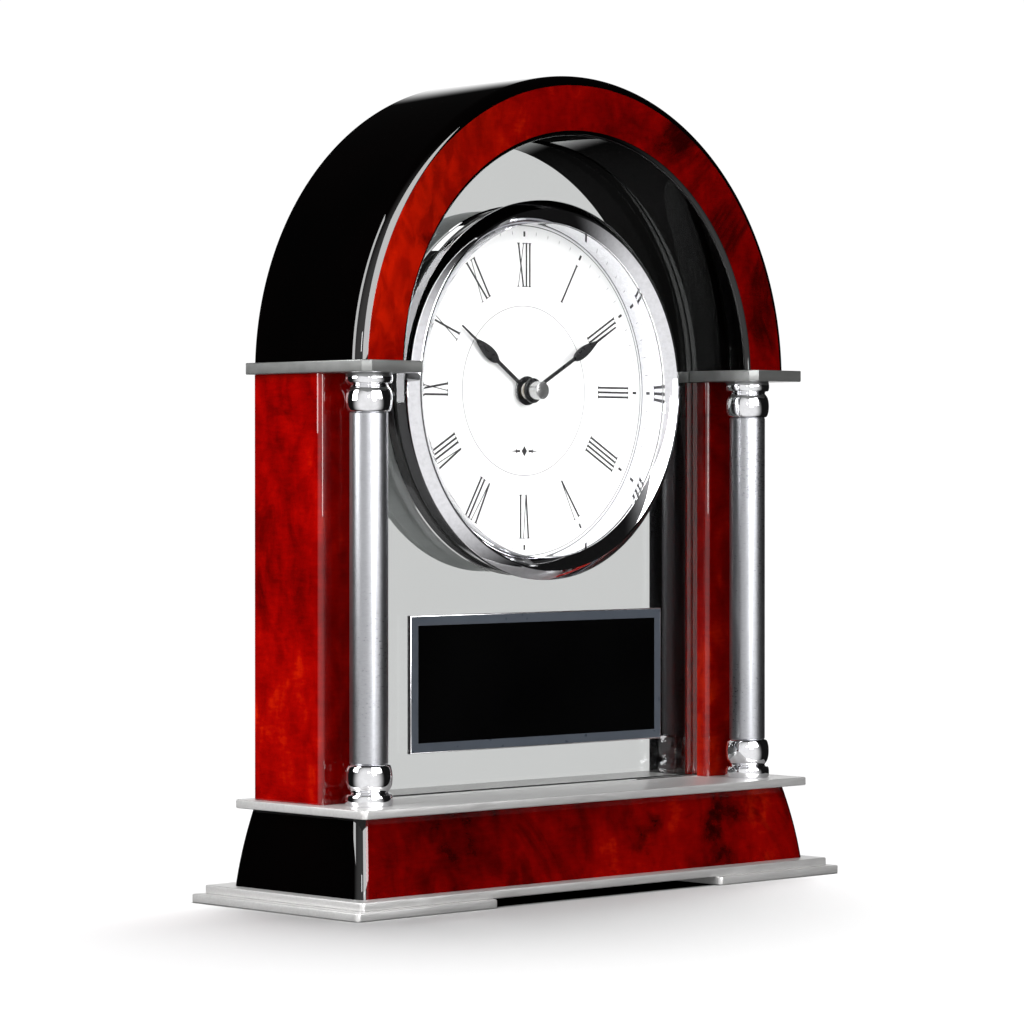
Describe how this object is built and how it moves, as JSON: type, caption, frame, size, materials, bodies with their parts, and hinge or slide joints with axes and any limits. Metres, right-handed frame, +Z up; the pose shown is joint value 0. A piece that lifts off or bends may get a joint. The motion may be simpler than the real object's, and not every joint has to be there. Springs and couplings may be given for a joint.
{
  "type": "mantel clock",
  "caption": "Arched mantel clock: a round quartz clock set in a clear glass panel between lacquered pillars and free-standing metal columns on a stepped base, with a blank plate.",
  "frame": {"origin": "middle of the base, on the surface that the feet stand on", "axes": "+X to the right seen from the front, +Y towards the back, +Z up; the dial faces -Y"},
  "size_m": [0.1916, 0.0702, 0.232],
  "materials": {
    "satin_plate": "satin",
    "chrome": "polished",
    "bezel_chrome": "polished",
    "brushed_shaft": "brushed along the shaft",
    "burl_lacquer": "red burl veneer under high gloss lacquer",
    "black_lacquer": "high gloss black lacquer, red burl on the front",
    "dowel_wood": "plain",
    "clear_glass": "clear, polished edges",
    "lens_glass": "clear",
    "plaque_black": "satin black with a grey border",
    "foam_tape": "foam",
    "dial_white": "satin white, printed numerals",
    "hand_black": "satin black",
    "black_rubber": "matte",
    "drum_metal": "satin",
    "black_plastic": "matte",
    "white_plastic": "moulded",
    "steel": "zinc plated",
    "brass": "plain",
    "copper_wire": "enamelled copper wire",
    "board_green": "solder mask",
    "cell_jacket": "plain shrink sleeve, no marks"
  },
  "bodies": {
    "frame": {"foot_left": "satin_plate", "foot_right": "satin_plate", "base_plate": "satin_plate", "foot_screw_left_front": "steel", "foot_screw_left_back": "steel", "foot_screw_right_front": "steel", "foot_screw_right_back": "steel", "plinth": "burl_lacquer", "mid_plate": "satin_plate", "pillar_left": "burl_lacquer", "pillar_right": "burl_lacquer", "pillar_dowel_left": "dowel_wood", "pillar_dowel_right": "dowel_wood", "pillar_screw_left": "steel", "pillar_screw_right": "steel", "column_base_left": "chrome", "column_base_right": "chrome", "column_shaft_left": "brushed_shaft", "column_shaft_right": "brushed_shaft", "column_capital_left": "chrome", "column_capital_right": "chrome", "tie_rod_left": "steel", "tie_rod_right": "steel", "abacus_left": "satin_plate", "abacus_right": "satin_plate", "arch": "black_lacquer", "glass_panel": "clear_glass", "plaque": "plaque_black", "plaque_tape": "foam_tape", "bezel": "bezel_chrome", "lens": "lens_glass", "reflector_ring": "bezel_chrome", "dial": "dial_white", "case_gasket": "black_rubber", "case_drum": "drum_metal", "case_back": "black_plastic", "stator": "steel", "coil": "copper_wire", "circuit_board": "board_green", "quartz_crystal": "steel", "battery": "cell_jacket", "contact_positive": "brass", "contact_negative": "brass", "movement_case_front": "black_plastic", "movement_case_rear": "black_plastic", "dial_nut": "brass"},
    "minute_work": {"minute_hand": "hand_black", "hand_nut": "steel", "minute_arbor": "brass"},
    "hour_work": {"hour_hand": "hand_black", "hour_wheel": "white_plastic"},
    "setting_work": {"minute_wheel": "white_plastic", "set_knob": "black_plastic"},
    "centre_arbor": {"centre_wheel": "brass"},
    "third_arbor": {"third_wheel": "brass"},
    "fourth_arbor": {"fourth_wheel": "brass"},
    "step_arbor": {"step_wheel": "brass"},
    "rotor_arbor": {"rotor": "steel"}
  },
  "joints": [
    {"name": "minute_hand_turn", "type": "hinge", "parent": "frame", "child": "minute_work", "pos_m": [0, 0, 0.1431], "axis": [0, 1, 0], "continuous": true},
    {"name": "hour_hand_turn", "type": "hinge", "parent": "frame", "child": "hour_work", "pos_m": [0, 0, 0.1431], "axis": [0, 1, 0], "continuous": true},
    {"name": "minute_wheel_turn", "type": "hinge", "parent": "frame", "child": "setting_work", "pos_m": [-0.0084, 0, 0.1431], "axis": [0, 1, 0], "continuous": true},
    {"name": "fourth_wheel_turn", "type": "hinge", "parent": "frame", "child": "fourth_arbor", "pos_m": [0.00753, 0, 0.15584], "axis": [0, 1, 0], "continuous": true},
    {"name": "third_wheel_turn", "type": "hinge", "parent": "frame", "child": "third_arbor", "pos_m": [0.0062, 0, 0.14831], "axis": [0, 1, 0], "continuous": true},
    {"name": "centre_wheel_turn", "type": "hinge", "parent": "frame", "child": "centre_arbor", "pos_m": [0, 0, 0.1431], "axis": [0, 1, 0], "continuous": true},
    {"name": "step_wheel_turn", "type": "hinge", "parent": "frame", "child": "step_arbor", "pos_m": [0.00221, 0, 0.15678], "axis": [0, 1, 0], "continuous": true},
    {"name": "rotor_turn", "type": "hinge", "parent": "frame", "child": "rotor_arbor", "pos_m": [-0.00409, 0, 0.15678], "axis": [0, 1, 0], "continuous": true}
  ],
  "couplings": [
    {"joint": "hour_hand_turn", "follows": "minute_hand_turn", "ratio": 0.083333},
    {"joint": "minute_wheel_turn", "follows": "minute_hand_turn", "ratio": -0.33333},
    {"joint": "rotor_turn", "follows": "step_wheel_turn", "ratio": -6},
    {"joint": "fourth_wheel_turn", "follows": "step_wheel_turn", "ratio": -0.2},
    {"joint": "third_wheel_turn", "follows": "step_wheel_turn", "ratio": 0.026667},
    {"joint": "centre_wheel_turn", "follows": "step_wheel_turn", "ratio": -0.0033333}
  ]
}
